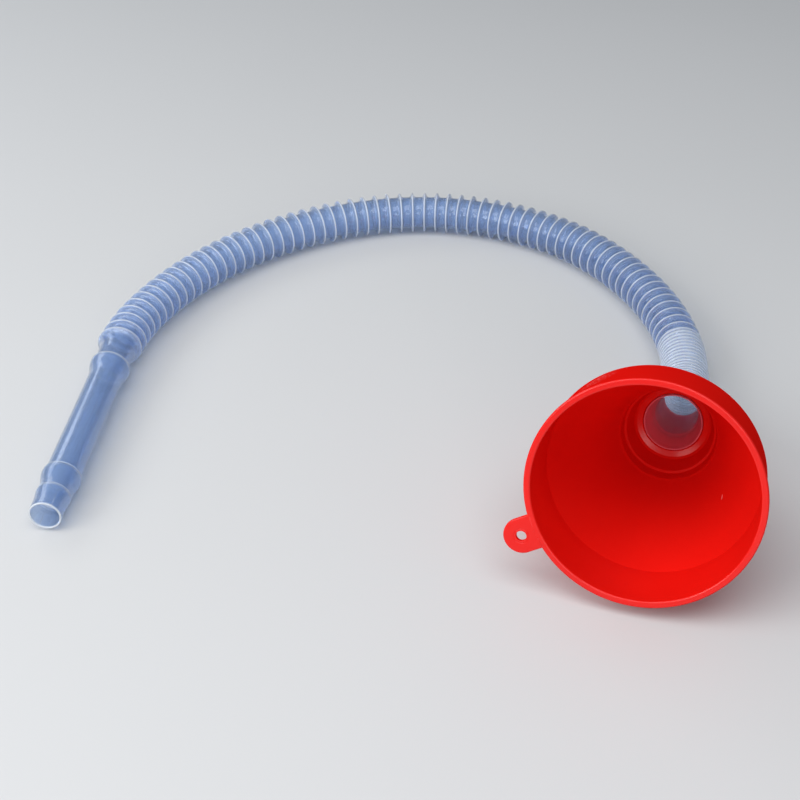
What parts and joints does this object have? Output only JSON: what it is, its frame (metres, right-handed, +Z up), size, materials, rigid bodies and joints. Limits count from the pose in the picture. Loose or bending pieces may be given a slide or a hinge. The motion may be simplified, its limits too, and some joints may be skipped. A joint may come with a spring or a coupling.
{
  "type": "funnel with flexible hose",
  "caption": "Wide red plastic funnel lying on its side, with a clear corrugated flexible hose that curls from its neck round to a smooth stepped nozzle.",
  "frame": {"origin": "on the floor under the middle of the funnel body, which lies on its side", "axes": "+Z up; the funnel's neck points along +Y and its mouth faces -Y, tipped a little upwards; +X is to the right looking into the back of the scene along +Y"},
  "size_m": [0.3908, 0.3749, 0.1117],
  "materials": {
    "red_plastic": "glossy moulded red polypropylene",
    "clear_hose": "clear, slightly bluish blow-moulded polyethylene"
  },
  "bodies": {
    "funnel": {"funnel_body": "red_plastic"},
    "hose_neck_end": {"hose_collar": "clear_hose", "hose_gathered": "clear_hose"},
    "hose_first_length": {"hose_length_1": "clear_hose"},
    "hose_second_length": {"hose_length_2": "clear_hose"},
    "hose_third_length": {"hose_length_3": "clear_hose"},
    "hose_nozzle_end": {"hose_length_4": "clear_hose", "nozzle": "clear_hose"}
  },
  "joints": [
    {"name": "hose_turn", "type": "hinge", "parent": "funnel", "child": "hose_neck_end", "pos_m": [0.0033, 0.07755, 0.01671], "axis": [0, 0.9588, -0.284], "continuous": true},
    {"name": "hose_pull_out", "type": "slide", "parent": "hose_neck_end", "child": "hose_first_length", "axis": [-0.1818, 0.9833, 0], "range_m": [0, 0.085], "deforming": ["hose_gathered"]},
    {"name": "hose_bend_near_neck", "type": "hinge", "parent": "hose_first_length", "child": "hose_second_length", "pos_m": [-0.0902, 0.23671, 0.0131], "axis": [0, 0, 1], "range_deg": [-30, 15]},
    {"name": "hose_bend_middle", "type": "hinge", "parent": "hose_second_length", "child": "hose_third_length", "pos_m": [-0.22836, 0.23713, 0.0131], "axis": [0, 0, 1], "range_deg": [-30, 15]},
    {"name": "hose_bend_near_nozzle", "type": "hinge", "parent": "hose_third_length", "child": "hose_nozzle_end", "pos_m": [-0.31182, 0.12293, 0.0131], "axis": [0, 0, 1], "range_deg": [-30, 15]}
  ]
}
